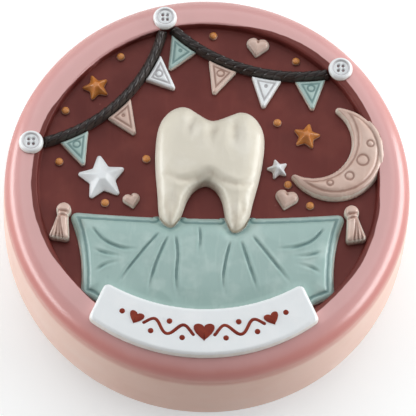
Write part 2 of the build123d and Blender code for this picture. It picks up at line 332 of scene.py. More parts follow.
def darkCover(paint, soft=0.06):
    # where the dark field paint covers the rose one, with the wavy edge of a brush
    plan = lidPaintPlan
    x, y, z, radius = paint.axes()
    reach = plan["darkReach"] + paint.wander(6.0, 1.0) * plan["darkWander"] * 3
    reach = reach + paint.wander(1.5, 1.0) * plan["darkWander"]
    for angle, more in plan["darkHigh"].items():
        towards = around(1.0, angle)
        turn = (x * towards[0] + y * towards[1]) / radius
        reach = reach + paint.between(turn, 0.72, 1.0) * more
    above = paint.between(z, plan["darkBase"], plan["darkBase"] + 0.1)
    return paint.between(radius - reach, soft, -soft) * above


def lidPaint():
    plan = lidPaintPlan
    paint = Paint("rose_paint", rose)
    x, y, z, radius = paint.axes()
    paint.speck(rose["specks"], rose["dark"])
    # a painted highlight on the crown and a painted shade on the outer slope of the rim
    for start, end, share, shade in plan["paintedLightZones"]:
        paint.lay(paint.between(z + paint.wander(7.0) * 0.4, start, end) * share, shade)
    mist = paint.between(z + paint.wander(5.0) * 0.5, plan["mistHigh"], shell["seam"])
    paint.lay(mist * plan["mist"], cream["body"])
    covered = darkCover(paint)
    paint.lay(darkCover(paint, 0.16) * 0.30, ground["light"])
    paint.lay(covered, paint.brushwork(ground))
    wobble = paint.wander(3.0, 3.0) * 0.5
    inner = paint.between(radius + wobble, plan["paintWall"], plan["paintWall"] - 0.15)
    under = paint.between(z, plan["paintBase"] + 0.05, plan["paintBase"]) * inner
    paint.lay(under, rawResin(paint))
    roughness = rose["rough"] + paint.wander(rose["patch"], 3.0) * 0.12 + under * 0.25 + covered * 0.08
    height = paint.brushed(1.1, 0.7, 0.4, (1, 0.15, 0.5))
    paint.finish(roughness, height, rose["bump"], lacquer)
    thin = paint.between(z, plan["lacquerHigh"], plan["lacquerLow"]) * plan["lacquerThin"]
    dull = paint.maths("MAXIMUM", paint.maths("MAXIMUM", covered * 0.85, under), thin)
    paint.put("Coat Weight", (1 - dull) * lacquer["weight"])
    return paint.material


def cupPaint():
    paint = Paint("cream_paint", cream)
    x, y, z, radius = paint.axes()
    paint.speck(cream["specks"], cream["dark"])
    wobble = paint.wander(3.5) * 0.8
    under = paint.between(z + wobble * 0.5, 0.35, 0.15)
    paint.lay(under, rawResin(paint))
    # darker towards the foot of the cup
    paint.lay(paint.between(z + wobble, 1.2, 0.4) * 0.25, bare["darkResin"])
    outside = paint.between(radius, 29.0, 29.6) * lidPaintPlan["mist"]
    mist = paint.between(z + wobble * 0.3, lidPaintPlan["mistLow"], shell["seam"])
    paint.lay(mist * outside, rose["body"])
    roughness = cream["rough"] + paint.wander(cream["patch"], 3.0) * 0.12 + under * 0.25
    height = paint.brushed(1.3, 0.7, 0.45, (0.2, 0.2, 1), 0)
    return paint.finish(roughness, height, cream["bump"], matt)


def russetPaint():
    paint = Paint("russet_paint", enamel)
    roughness = enamel["rough"] + paint.wander(enamel["patch"]) * 0.12
    return paint.finish(roughness, paint.cloud(0.4), enamel["bump"], matt)


finishes = {}
for name, (body, light, wash, chalk) in reliefTints.items():
    colours = dict(body=tint(*body), light=tint(*light), wash=tint(*wash), chalk=chalk)
    finishes[name] = reliefPaint(name + "_paint", colours, wax if name == "relief_brown" else satin)
finishes["lid_pink"] = lidPaint()
finishes["cup_cream"] = cupPaint()
finishes["field_dark_red"] = groundPaint()
russet = russetPaint()
print("paints mixed:", len(finishes) + 1)


# Modelling helpers

def linked(name, data):
    made = bpy.data.objects.new(name, data)
    bpy.context.scene.collection.objects.link(made)
    return made


def onlySelect(piece):
    bpy.ops.object.select_all(action="DESELECT")
    piece.select_set(True)
    bpy.context.view_layer.objects.active = piece


def openMesh():
    bpy.ops.object.mode_set(mode="EDIT")
    bpy.ops.mesh.select_all(action="SELECT")


def closeMesh(merge=True):
    bpy.ops.mesh.select_all(action="SELECT")
    if merge:
        bpy.ops.mesh.remove_doubles(threshold=mm / 1000)
    bpy.ops.mesh.normals_make_consistent(inside=False)
    bpy.ops.object.mode_set(mode="OBJECT")


def applyModifier(piece, kind, **settings):
    onlySelect(piece)
    modifier = piece.modifiers.new(kind.lower(), kind)
    for name, value in settings.items():
        setattr(modifier, name, value)
    bpy.ops.object.modifier_apply(modifier=modifier.name)


def valuesOf(piece, name):
    flat = np.empty(len(piece.data.vertices) * 3)
    piece.data.vertices.foreach_get(name, flat)
    return flat.reshape(-1, 3)


def pointsOf(piece):
    return valuesOf(piece, "co") / mm


def setPoints(piece, points):
    piece.data.vertices.foreach_set("co", (points * mm).ravel())
    piece.data.update()


def hold(piece, body, slot, paint, *nodes):
    piece.data.materials.clear()
    piece.data.materials.append(paint)
    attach(piece, body)
    if nodes:
        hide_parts(*nodes)


class Outline(list):
    # a half section, drawn on from its last point
    def to(self, x, z, count):
        self.extend(tuple(point) for point in np.linspace(self[-1], (x, z), count)[1:])

    def bend(self, centre, radius, start, end, count, skip=1):
        # an arc, angles in degrees; radius may be a pair
        wide, tall = radius if isinstance(radius, tuple) else (radius, radius)
        for a in np.radians(np.linspace(start, end, count))[skip:]:
            self.append((centre[0] + wide * math.cos(a), centre[1] + tall * math.sin(a)))


def fresh(name, add, **settings):
    # a new mesh, the only thing selected
    bpy.ops.object.select_all(action="DESELECT")
    add(**settings)
    made = bpy.context.object
    made.name = name
    return made


def turned(name, outline):
    # a point is drawn along the half section and spun round the upright axis
    first = (outline[0][0] * mm, 0, outline[0][1] * mm)
    piece = fresh(name, bpy.ops.mesh.primitive_plane_add, size=mm, location=first)
    bpy.ops.object.transform_apply(location=True, rotation=False, scale=False)
    openMesh()
    bpy.ops.mesh.merge(type="CENTER")
    for (r0, z0), (r1, z1) in zip(outline, outline[1:]):
        move = {"value": ((r1 - r0) * mm, 0, (z1 - z0) * mm)}
        bpy.ops.mesh.extrude_vertices_move(TRANSFORM_OT_translate=move)
    bpy.ops.mesh.select_all(action="SELECT")
    bpy.ops.mesh.spin(steps=shell["steps"], angle=2 * math.pi, center=(0, 0, 0), axis=up)
    closeMesh()
    return piece


hand = dict(reach=14.0, wave=0.05, fine=5.0, ripple=0.012)  # unevenness of the hand-finished cast


def unevenness(point):
    slow = noise.noise(Vector(point) / hand["reach"]) * hand["wave"]
    quick = noise.noise(Vector(point) / hand["fine"] + up * 7) * hand["ripple"]
    return slow + quick - hand["wave"] / 2


def castWave(piece, flatBelow):
    # the surface wanders in and out a little, and stays true where the piece stands or seats
    points = pointsOf(piece)
    for point in points:
        reach = math.hypot(point[0], point[1])
        if point[2] > flatBelow and reach > 1:
            shift = unevenness(point)
            point[0] += shift * point[0] / reach
            point[1] += shift * point[1] / reach
            point[2] += min(shift, 0)
    setPoints(piece, points)


# The two shells and the dark field

def overCentre(radius, reach, centre):
    # height of a circle in the half section over the level of its centre
    return np.sqrt(np.clip(radius ** 2 - (reach - centre) ** 2, 0, None))


def bedHeight(reach):
    # level of the lid's top under a point, by its distance from the middle
    s = shell
    bend = s["stepRound"]
    hollow = s["field"] + bend - overCentre(bend, reach, s["flat"])
    bulge = s["crownTop"] - bend + overCentre(bend, reach, s["crown"])
    rim = s["shoulderFoot"] + overCentre(s["shoulder"], reach, s["crown"])
    level = np.where(reach < s["flat"], s["field"], hollow)
    level = np.where(reach > s["middle"], bulge, level)
    return np.where(reach > s["crown"], rim, level)


def makeCup():
    s = shell
    mouth = s["edge"] - s["mouth"]
    foot = s["belly"] - s["foot"]
    seam = s["seam"]
    rim = s["rimRound"]
    # the wall bows from the belly in to the seam on one large arc
    rise = seam - s["foot"]
    sink = s["belly"] - s["edge"]
    bow = (rise ** 2 + sink ** 2) / (2 * sink)
    lean = math.degrees(math.asin((rise - rim) / bow))
    outline = Outline([(0, 0)])
    outline.to(foot, 0, 14)
    outline.bend((foot, s["foot"]), s["foot"], -90, 0, 22)
    outline.bend((s["belly"] - bow, s["foot"]), bow, 0, lean, 16)
    outline.bend((s["edge"] - rim, seam - rim), rim, 10, 90, 5, 0)
    outline.to(mouth + rim, seam, 5)
    outline.bend((mouth + rim, seam - rim), rim, 90, 180, 5)
    outline.to(mouth, s["floor"] + s["corner"], 12)
    outline.bend((mouth - s["corner"], s["floor"] + s["corner"]), s["corner"], 0, -90, 12)
    outline.to(0, s["floor"], 14)
    return turned("base_cup_cast", outline)


def makeLid():
    s = shell
    bottom = s["seam"] + s["seat"]
    foot = s["shoulderFoot"]
    ringOut = s["edge"] - s["mouth"] - s["mouthGap"]
    ringIn = ringOut - s["ringWall"]
    ringRound = s["ringRound"]
    ringFoot = s["ringFoot"] + ringRound
    under = s["seam"] - s["underside"]
    waist = s["edge"] - s["lip"]
    rim = s["rimRound"]
    outline = Outline([(0, under)])
    outline.to(ringIn, under, 12)
    outline.to(ringIn, ringFoot, 4)
    outline.bend((ringIn + ringRound, ringFoot), ringRound, 180, 270, 6)
    outline.bend((ringOut - ringRound, ringFoot), ringRound, 270, 360, 6, 0)
    outline.to(ringOut, bottom, 4)
    outline.to(s["edge"] - rim, bottom, 5)
    outline.bend((s["edge"] - rim, bottom + rim), rim, -90, 0, 5)
    lipTop = foot - s["overlap"]
    for share in s["lipSteps"]:
        turn = (1 + math.cos(math.pi * share)) / 2
        height = bottom + rim + (lipTop - bottom - rim) * share
        outline.append((waist + s["lip"] * turn, height))
    outline.bend((s["crown"], foot), (waist - s["crown"], s["shoulder"]), 0, 90, 30)
    top = (s["ledge"] + s["ledgeRound"], s["crownTop"] - s["ledgeRound"])
    outline.to(top[0], s["crownTop"], 4)
    outline.bend(top, s["ledgeRound"], 90, 180, 12)
    deep = s["field"] - s["fieldThick"]
    outline.to(s["ledge"], deep, 5)
    outline.to(0, deep, 6)
    return turned("lid_shell_cast", outline)


def makeField():
    s = shell
    deep = s["field"] - s["fieldThick"] + s["overlap"]
    foot = s["ledge"] + s["overlap"] - s["ledgeHollow"]
    outline = Outline([(0, s["field"])])
    outline.to(foot, s["field"], 44)
    outline.bend((foot, s["field"] + s["ledgeHollow"]), s["ledgeHollow"], -90, 0, 10)
    side = outline[-1][0]
    outline.to(side, s["field"], 2)
    outline.to(side, deep, 2)
    outline.to(0, deep, 4)
    return turned("ground_panel_cast", outline)


def makeShells():
    shells = [
        # piece, level below which it stays true, body, slot and node
        (makeCup(), shell["floor"] + 2, "base", "cup_cream", "base_cup"),
        (makeLid(), shell["seam"] + 0.5, "lid", "lid_pink", "lid_shell"),
        (makeField(), shell["seam"] + 0.5, "lid", "field_dark_red", "ground_panel"),
    ]
    for piece, flatBelow, body, slot, node in shells:
        castWave(piece, flatBelow)
        onlySelect(piece)
        bpy.ops.object.shade_smooth_by_angle(angle=math.radians(shell["sharp"]))
        hold(piece, body, slot, finishes[slot], node)


makeShells()
print("shells turned")


# Relief: each figure starts as the fine mesh of its solid, and is domed and carved

def flowing(points, parts=8):
    # a soft line through listed points
    p = np.array(points, float)
    p = np.vstack([2 * p[0] - p[1], p, 2 * p[-1] - p[-2]])
    line = []
    for a, b, c, d in zip(p, p[1:], p[2:], p[3:]):
        bend, twist = 2 * a - 5 * b + 4 * c - d, 3 * b - a - 3 * c + d
        for t in np.linspace(0, 1, parts, endpoint=False):
            line.append(b + ((c - a) * t + bend * t ** 2 + twist * t ** 3) / 2)
    return np.array(line + [p[-2]])


def placed(points, centre, turn=0.0, size=(1, 1)):
    # points in a figure's own upright view, or shares of its size, turned and moved to its place
    c, s = math.cos(math.radians(turn)), math.sin(math.radians(turn))
    sized = [(x * size[0], y * size[1]) for x, y in points]
    return [(centre[0] + x * c - y * s, centre[1] + x * s + y * c) for x, y in sized]


def smoothShare(value, low, high):
    t = np.clip((value - low) / (high - low), 0, 1)
    return t * t * (3 - 2 * t)


def bell(gap, width):
    return np.exp(-(gap / width) ** 2)


def nearestOf(points, others):
    # for each point the place and the distance of the nearest of the others, seen from above
    tree = KDTree(len(others))
    for count, (x, y, z) in enumerate(others):
        tree.insert((x, y, 0), count)
    tree.balance()
    found = [tree.find((x, y, 0)) for x, y, z in points]
    return np.array([(place.x, place.y, gap) for place, count, gap in found])


def gapBetween(points, others):
    return nearestOf(points, others)[:, 2]


carving = dict(
    upright=0.5,  # a wall is where the surface leans at least this much
    clear=0.35,  # and stands this far over the lid
    hidden=0.9,  # an edge this near another figure lies under it and isn't rounded off
    skin=0.25,  # a cut leaves this much over the lid
    burr=0.30,  # height of the burr beside a groove, as a share of its depth
    footing=0.12,  # what is lower than this
    sink=0.10,  # is pushed this far into the lid
)


class Relief:
    # a plan gives the grain of the mesh, how often it is smoothed, and the reach and floor of the dome
    def __init__(self, node, plan, level=None, over=()):
        self.node = node
        self.piece = linked(node + "_cast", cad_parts[node].data.copy())
        onlySelect(self.piece)
        openMesh()
        closeMesh()
        applyModifier(self.piece, "REMESH", mode="VOXEL", voxel_size=plan["grain"] * mm)
        applyModifier(self.piece, "SMOOTH", factor=0.5, iterations=plan.get("settle", 3))
        self.points = pointsOf(self.piece)
        lean = valuesOf(self.piece, "normal")[:, 2]
        self.bed = bedHeight(self.distance((0, 0)))
        self.base = self.bed if level is None else np.full(len(self.points), level)
        self.skirt = 0.0  # the field's paint also covers the sides up to this level
        self.groove = np.zeros(len(self.points))
        height = self.points[:, 2] - self.bed
        self.outline = self.points[(np.abs(lean) < carving["upright"]) & (height > carving["clear"])]
        free = self.outline
        for other in over:
            free = free[gapBetween(free, other.outline) > carving["hidden"]]
        self.inset = gapBetween(self.points, free)
        self.faceUp = smoothShare(lean, 0.0, 0.5)
        self.dome(plan["reach"], plan["floor"], plan.get("ridged"))

    def distance(self, centre):
        return np.hypot(self.points[:, 0] - centre[0], self.points[:, 1] - centre[1])

    def dome(self, reach, floor, ridged):
        # the top falls away towards the outline, round like a pebble or straight like a roof
        share = np.clip(self.inset / reach, 0, 1)
        rise = share if ridged else np.sqrt(1 - (1 - share) ** 2)
        height = self.points[:, 2] - self.base
        self.points[:, 2] = self.base + np.where(height > 0, height * (floor + (1 - floor) * rise), height)

    def cut(self, amount):
        # lowers the top by an amount for each point, never below a thin skin over the lid
        height = self.points[:, 2] - self.bed
        keep = np.maximum(height - amount * self.faceUp, np.minimum(height, carving["skin"]))
        self.points[:, 2] = self.bed + keep

    # darkens the paint where the share is high: partly a wash, partly painted shade in grooves and hollows
    def washAndShade(self, share):
        self.groove = np.maximum(self.groove, share)

    def line(self, points, width, depth, fade=0.8, wash=1.0, start=None):
        # a tooled groove along a line, with a low burr beside it, that fades out at its ends
        points = np.asarray(points, float)
        here = self.points[:, :2]
        best = np.full(len(here), 1e9)
        along = np.zeros(len(here))
        travelled = 0.0
        for a, b in zip(points, points[1:]):
            run = b - a
            length = max(np.hypot(*run), 1e-9)
            share = np.clip(((here - a) @ run) / length ** 2, 0, 1)
            gap = np.hypot(*(here - a - share[:, None] * run).T)
            nearer = gap < best
            best[nearer] = gap[nearer]
            along[nearer] = travelled + share[nearer] * length
            travelled += length
        start = fade if start is None else start
        taper = smoothShare(along, -0.15 * start, start)
        taper = taper * smoothShare(travelled - along, -0.15 * fade, fade)
        burr = bell(best - width * 1.05, width * 0.45) * carving["burr"]
        self.cut((bell(best, width * 0.5) - burr) * depth * taper)
        self.washAndShade(bell(best, width * 0.55) * taper * wash)

    def ring(self, centre, radius, width, depth):
        shape = bell(np.abs(self.distance(centre) - radius), width * 0.5)
        self.cut(shape * depth)
        self.washAndShade(shape)

    def border(self, inset, width, depth, wash=1.0):
        # a groove that follows the outline at a steady distance
        shape = bell(self.inset - inset, width * 0.5)
        self.cut(shape * depth)
        self.washAndShade(shape * wash * self.faceUp)

    def uneven(self, size, depth):
        shift = [noise.noise(Vector(point) / size) for point in self.points]
        self.cut(np.abs(shift) * depth)

    def done(self, slot):
        low = self.points[:, 2] - self.bed < carving["footing"]
        self.points[:, 2] -= np.where(low, carving["sink"], 0.0)
        setPoints(self.piece, self.points)
        applyModifier(self.piece, "SMOOTH", factor=0.4, iterations=1)
        level = pointsOf(self.piece)[:, 2]
        wall = 1 - smoothShare(valuesOf(self.piece, "normal")[:, 2], 0.25, 0.7)
        # a band just inside the outline where the paint is lightened: a painted highlight
        highlightBand = smoothShare(self.inset, 0.02, 0.16) * (1 - smoothShare(self.inset, 0.3, 0.62))
        shares = {
            "groove": self.groove,
            "side": wall,
            "edge": highlightBand * (1 - wall),
            "foot": np.clip(np.minimum(level - self.bed, level - self.skirt), 0, 1),
        }
        for name, values in shares.items():
            layer = self.piece.data.attributes.new(name, "FLOAT", "POINT")
            layer.data.foreach_set("value", values.astype(np.float32))
        bpy.ops.object.shade_smooth()
        hold(self.piece, "lid", slot, finishes[slot], self.node)
        return self


toothPlan = dict(
    grain=0.16, settle=4, reach=2.9, floor=0.34, lean=-5.0, groove=0.55, depth=0.36,
    cuts=[
        # points as shares of the tooth, then times the groove, times the depth, fade and wash
        ([(0.0, 0.43), (0.012, 0.33), (-0.008, 0.22), (0.004, 0.10)], 2.6, 1.0, 3.4, 0.28),
        ([(0.215, 0.45), (0.20, 0.34), (0.205, 0.24), (0.19, 0.14)], 2.6, 0.9, 2.2, 0.3),
        ([(-0.215, 0.45), (-0.20, 0.35), (-0.21, 0.26), (-0.20, 0.17)], 2.6, 0.9, 2.2, 0.3),
        ([(-0.455, -0.07), (-0.27, -0.135), (-0.1, -0.10), (0, -0.055),
          (0.1, -0.10), (0.27, -0.135), (0.455, -0.07)], 1.6, 0.5, 1.8, 0.3),
        ([(-0.31, -0.21), (-0.315, -0.30), (-0.30, -0.39)], 2.0, 0.5, 1.8, 0.22),
        ([(0.31, -0.21), (0.315, -0.30), (0.30, -0.39)], 2.0, 0.5, 1.8, 0.22),
        ([(0, -0.13), (0.01, -0.09), (0, -0.07)], 1.8, 0.7, 0.8, 0.3),
    ],
    uneven=(3.0, 0.10),
    rootFrom=0.02,  # the roots are darker, from here to here under the middle
    rootTo=0.45, rootTint=0.34,
)


def makeTooth():
    plan = toothPlan
    centre, size = middleAndSize("tooth")
    tooth = Relief("tooth", plan)
    for shares, wide, deep, fade, wash in plan["cuts"]:
        points = flowing(placed(shares, centre, plan["lean"], size))
        tooth.line(points, plan["groove"] * wide, plan["depth"] * deep, fade, wash)
    tooth.uneven(*plan["uneven"])
    below = (centre[1] - tooth.points[:, 1]) / size[1]
    tooth.washAndShade(smoothShare(below, plan["rootFrom"], plan["rootTo"]) * plan["rootTint"])
    return tooth.done("relief_ivory")


pillowPlan = dict(
    grain=0.17, settle=4, reach=3.4, floor=0.30, piping=0.95, width=0.40, depth=0.34,
    fade=3.6,  # the folds run out over this length
    start=1.3,
    press=0.55,  # the roots of the tooth sink into it this far
    pressReach=2.2,
    tuck=0.45,  # and its edge is drawn in under the banner this far
    uneven=(4.0, 0.14),
    folds=[
        [(-0.174, 0.285), (-0.235, 0.09), (-0.29, -0.10), (-0.325, -0.24)],
        [(-0.145, 0.245), (-0.18, 0.02), (-0.205, -0.18), (-0.215, -0.33)],
        [(-0.118, 0.250), (-0.11, 0.05), (-0.115, -0.16), (-0.11, -0.36)],
        [(0.082, 0.195), (0.065, 0.0), (0.055, -0.18), (0.06, -0.34)],
        [(0.120, 0.205), (0.145, -0.02), (0.165, -0.18), (0.18, -0.32)],
        [(0.159, 0.255), (0.215, 0.06), (0.265, -0.11), (0.295, -0.22)],
        [(-0.03, 0.36), (-0.028, 0.20), (-0.035, 0.04)],
        [(-0.425, 0.34), (-0.38, 0.19), (-0.32, 0.11), (-0.25, 0.09)],
        [(-0.415, 0.10), (-0.37, 0.05), (-0.31, 0.02)],
        [(-0.405, -0.12), (-0.37, -0.06), (-0.32, -0.03)],
        [(0.425, 0.34), (0.38, 0.20), (0.32, 0.13), (0.25, 0.11)],
        [(0.415, 0.09), (0.37, 0.05), (0.31, 0.03)],
        [(0.405, -0.12), (0.37, -0.07), (0.32, -0.04)],
    ],
)


def makePillow(tooth, banner):
    plan = pillowPlan
    centre, size = middleAndSize("pillow")
    pillow = Relief("pillow", plan, over=(tooth, banner))
    pillow.border(plan["piping"], plan["width"] * 1.2, plan["depth"] * 0.8)
    pressed = 1 - smoothShare(gapBetween(pillow.points, tooth.outline), 0.2, plan["pressReach"])
    pillow.cut(pressed ** 2 * plan["press"])
    # where the tooth sinks in, the pillow is darkened: painted shade between the two
    pillow.washAndShade(pressed ** 3 * 0.5)
    for shares in plan["folds"]:
        points = flowing(placed(shares, centre, size=size))
        pillow.line(points, plan["width"], plan["depth"], plan["fade"], 0.8, plan["start"])
    pillow.uneven(*plan["uneven"])
    under = nearestOf(pillow.points, banner.points[banner.inset > 1.5][::5])
    close = 1 - smoothShare(gapBetween(pillow.points, banner.outline), 0.25, 0.9)
    share = close * plan["tuck"] / np.maximum(under[:, 2], 0.1)
    pillow.points[:, :2] += (under[:, :2] - pillow.points[:, :2]) * share[:, None]
    pillow.done("relief_sea_green")


tasselPlan = dict(
    grain=0.11, reach=0.8, floor=0.45, turn=8.0,
    neck=1.5,  # the neck is bound here below the top
    bindings=(0, 0.62), half=1.4, width=0.34, depth=0.26,
    strands=(-0.72, -0.3, 0.12, 0.5, 0.85),
)


def makeTassels():
    plan = tasselPlan
    for side, name in ((-1, "pillow_tassel_left"), (1, "pillow_tassel_right")):
        low, high = boxOf(name)
        tassel = Relief(name, plan)
        length = high[1] - low[1]
        top = np.array(((low[0] + high[0]) / 2, high[1]))
        lean = side * plan["turn"]
        for drop in plan["bindings"]:
            level = -plan["neck"] - drop
            across = placed([(-plan["half"], level), (plan["half"], level)], top, lean)
            tassel.line(across, plan["width"], plan["depth"], 0.1)
        for strand in plan["strands"]:
            start = (strand * 0.45, -plan["neck"] - 0.7)
            run = [start, (strand * 0.85, -length * 0.68), (strand * 1.55, -length)]
            tassel.line(flowing(placed(run, top, lean)), plan["width"] * 0.8, plan["depth"], 0.2)
        tassel.done("relief_blush")


moonPlan = dict(
    grain=0.14, settle=4, reach=2.1, floor=0.36, contour=0.85, width=0.42, depth=0.26,
    uneven=(2.5, 0.12),
    craters=[  # share of the radius, angle, size
        (0.62, -62, 0.62),
        (0.60, -20, 0.85),
        (0.74, 12, 0.5),
        (0.70, -98, 0.45),
    ],
)


def makeMoon():
    plan = moonPlan
    low, high = boxOf("moon")
    radius = (high[1] - low[1]) / 2
    centre = np.array((high[0] - radius, (low[1] + high[1]) / 2))
    moon = Relief("moon", plan)
    moon.border(plan["contour"], plan["width"], plan["depth"] * 0.7, 0.8)
    for share, angle, size in plan["craters"]:
        moon.ring(centre + around(radius * share, angle), size, plan["width"] * 0.8, plan["depth"] * 0.8)
    moon.uneven(*plan["uneven"])
    moon.done("relief_blush")


starPlan = dict(
    grain=0.11,
    reach=0.22,  # as a share of the width
    floor=0.30, ridged=True,
    slots={
        "star_large": "relief_white",
        "star_high": "relief_mustard",
        "star_in_moon": "relief_mustard",
        "star_by_tooth": "relief_white",
    },
)


def makeStars():
    for name, slot in starPlan["slots"].items():
        wide = middleAndSize(name)[1][0]
        Relief(name, dict(starPlan, reach=wide * starPlan["reach"])).done(slot)


heartPlan = dict(
    grain=0.10,
    reach=0.42,  # as a share of the width
    floor=0.35,
    notch=0.3,  # the cleft ends this far over the middle
    width=0.35, depth=0.16,
)


def makeHearts():
    plan = heartPlan
    for name in ("heart_left", "heart_right", "heart_high"):
        centre, size = middleAndSize(name)
        high = boxOf(name)[1]
        heart = Relief(name, dict(plan, reach=size[0] * plan["reach"]))
        cleft = [(centre[0], high[1]), (centre[0], centre[1] + plan["notch"])]
        heart.line(cleft, plan["width"], plan["depth"], 0.3)
        heart.done("relief_blush")


dotPlan = dict(grain=0.09, reach=0.6, floor=0.30)
bannerPlan = dict(grain=0.15, settle=4, reach=0.50, floor=0.72, uneven=(5.0, 0.10))


def makeBanner():
    banner = Relief("banner", bannerPlan, shell["crownTop"])
    banner.uneven(*bannerPlan["uneven"])
    return banner.done("relief_white")


garland = dict(
    buttons=["garland_button_left", "garland_button_top", "garland_button_right"],
    sags=[4.4, 3.9],
    shares=[[0.21, 0.47, 0.74], [0.16, 0.39, 0.62, 0.84]],  # places of the pennants on the two swags
    follow=0.75,  # how far they turn with the cord
    slots=["relief_sea_green", "relief_blush", "relief_white"],
)
cordPlan = dict(
    grain=0.12, reach=0.75, floor=0.42, width=1.5,
    lay=3.0,  # length of one turn of a strand
    strands=2, twist=0.38, slant=0.7,
    valley=0.62,  # where the valley between two strands starts
    uneven=(1.5, 0.12),
)
buttonPlan = dict(
    grain=0.10, reach=0.9, floor=0.55,
    dish=0.72,  # the middle is hollowed out to this share of the radius
    dishDepth=0.32, ring=0.66, ringWidth=0.30, ringDepth=0.12,
    hole=0.36,  # the holes lie this far to the side and up or down
    holeDepth=0.55,
    disc=0.35,  # the white disc ends this far under the top of the rim
    stem=0.30,  # and what carries it is narrower by this share
)
pennantPlan = dict(
    grain=0.12, reach=0.9, floor=0.55, border=0.62, width=0.32, depth=0.20, length=5.9,
    motif=0.36,  # the dot or ring sits at this share of the length
    radii=(0.17, 0.52),
)


def swagArc(count):
    # centre, radius, start angle and swept angle of one swag
    start, end = [middleAndSize(name)[0][:2] for name in garland["buttons"][count:count + 2]]
    chord = end - start
    length = np.hypot(*chord)
    sag = garland["sags"][count]
    radius = (length ** 2 / 4 + sag ** 2) / (2 * sag)
    outward = np.array((-chord[1], chord[0])) / length
    centre = (start + end) / 2 + outward * (radius - sag)
    first = math.atan2(*(start - centre)[::-1])
    sweep = 2 * math.asin(length / 2 / radius)
    return centre, radius, first, sweep


def makeCord():
    plan = cordPlan
    cord = Relief("garland_cord", plan)
    for count in range(len(garland["sags"])):
        centre, radius, first, sweep = swagArc(count)
        out = cord.points[:, :2] - centre
        across = cord.distance(centre) - radius
        run = (np.arctan2(out[:, 1], out[:, 0]) - first + math.pi) % (2 * math.pi) - math.pi
        nearby = (np.abs(across) < plan["width"]) & (run > -0.05) & (run < sweep + 0.05)
        phase = run * radius / plan["lay"] + across / plan["width"] * plan["slant"]
        wave = np.abs((phase * plan["strands"]) % 1 - 0.5) * 2
        lay = np.clip((wave - plan["valley"]) / (1 - plan["valley"]), 0, 1) ** 1.5
        cord.cut(np.where(nearby, lay * plan["twist"], 0))
        # the valleys between the strands are darkened: partly a wash, partly painted shade
        cord.washAndShade(np.where(nearby, lay, 0))
    cord.uneven(*plan["uneven"])
    cord.done("relief_brown")


def makeButtons():
    plan = buttonPlan
    for name in garland["buttons"]:
        button = Relief(name, plan, shell["crownTop"])
        centre = middleAndSize(name)[0][:2]
        reach = button.distance(centre)
        radius = reach.max()
        button.cut(smoothShare(radius * plan["dish"] - reach, 0, 0.28) * plan["dishDepth"])
        button.ring(centre, radius * plan["ring"], plan["ringWidth"], plan["ringDepth"])
        for x, y in ((1, 1), (-1, 1), (-1, -1), (1, -1)):
            hole = centre + np.array((x, y)) * plan["hole"]
            pit = 1 - smoothShare(button.distance(hole), 0.14, 0.30)
            button.cut(pit * plan["holeDepth"])
            # the holes are darkened: painted shade in them
            button.washAndShade(pit)
        button.skirt = shell["crownTop"] - plan["disc"]
        below = smoothShare(button.skirt - button.points[:, 2], -0.1, 0.25)[:, None]
        button.points[:, :2] = centre + (button.points[:, :2] - centre) * (1 - below * plan["stem"])
        button.done("relief_white")


def makePennants():
    plan = pennantPlan
    number = 0
    for swag, shares in enumerate(garland["shares"]):
        centre, radius, first, sweep = swagArc(swag)
        for share in shares:
            number += 1
            angle = first + sweep * share
            top = centre + radius * np.array((math.cos(angle), math.sin(angle)))
            slope = math.degrees(angle) + 90
            turn = garland["follow"] * ((slope + 180) % 360 - 180)
            pennant = Relief("pennant_%d" % number, plan)
            pennant.border(plan["border"], plan["width"], plan["depth"])
            motif = placed([(0, -plan["length"] * plan["motif"])], top, turn)[0]
            pennant.ring(motif, plan["radii"][number % 2], plan["width"] * 0.9, plan["depth"])
            pennant.done(garland["slots"][(number - 1) % 3])


tooth = makeTooth()
banner = makeBanner()
makePillow(tooth, banner)
makeTassels()
makeMoon()
makeStars()
makeHearts()
Relief("gold_dots", dotPlan).done("relief_mustard")
makeCord()
makeButtons()
makePennants()
print("relief carved")


# Painted ornament on the banner: a waved line between small hearts, raised like enamel

ornament = dict(
    radius=24.0,  # middle line of the banner
    half=24.0,  # degrees to each side
    wave=0.85,
    waves=0.22,  # half a wave takes this share of the way
    line=(0.15, 0.87),  # the line runs from share to share
    thick=0.50, rise=0.12,
    hearts=[(-1.0, 1.15), (0.0, 1.6), (1.0, 1.15)],  # share of the way, size
    dots=[  # share of the way, side of the line
        (-0.30, 1), (-0.52, -1), (-0.74, 1), (-1.22, 0),
        (0.30, 1), (0.52, -1), (0.74, 1), (1.22, 0),
    ],
    dot=0.42,
    flat=0.4,  # the dots are flattened to this share
)
ornament["top"] = boxOf("banner")[1][2]
ornament["aside"] = middleAndSize("banner")[0][0]


def onBanner(share, lift=0.0):
    # a place on the banner, by its share of the way from the middle to the last heart
    x, y = around(ornament["radius"] - lift, share * ornament["half"] - 90)
    return np.array((x + ornament["aside"], y))


def strokeOnBanner(name, points):
    plan = ornament
    line = bpy.data.curves.new(name, "CURVE")
    line.dimensions = "3D"
    line.bevel_depth = plan["thick"] / 2 * mm
    line.bevel_resolution = 3
    line.use_fill_caps = True
    spline = line.splines.new("POLY")
    spline.points.add(len(points) - 1)
    for point, (x, y) in zip(spline.points, points):
        point.co = (x * mm, y * mm, 0, 1)
    onlySelect(linked(name, line))
    bpy.ops.object.convert(target="MESH")
    piece = bpy.context.object
    shaped = pointsOf(piece)
    shaped[:, 2] = plan["top"] - 0.04 + shaped[:, 2] / (plan["thick"] / 2) * plan["rise"]
    setPoints(piece, shaped)
    onlySelect(piece)
    bpy.ops.object.shade_smooth()
    hold(piece, "lid", "field_dark_red", russet)


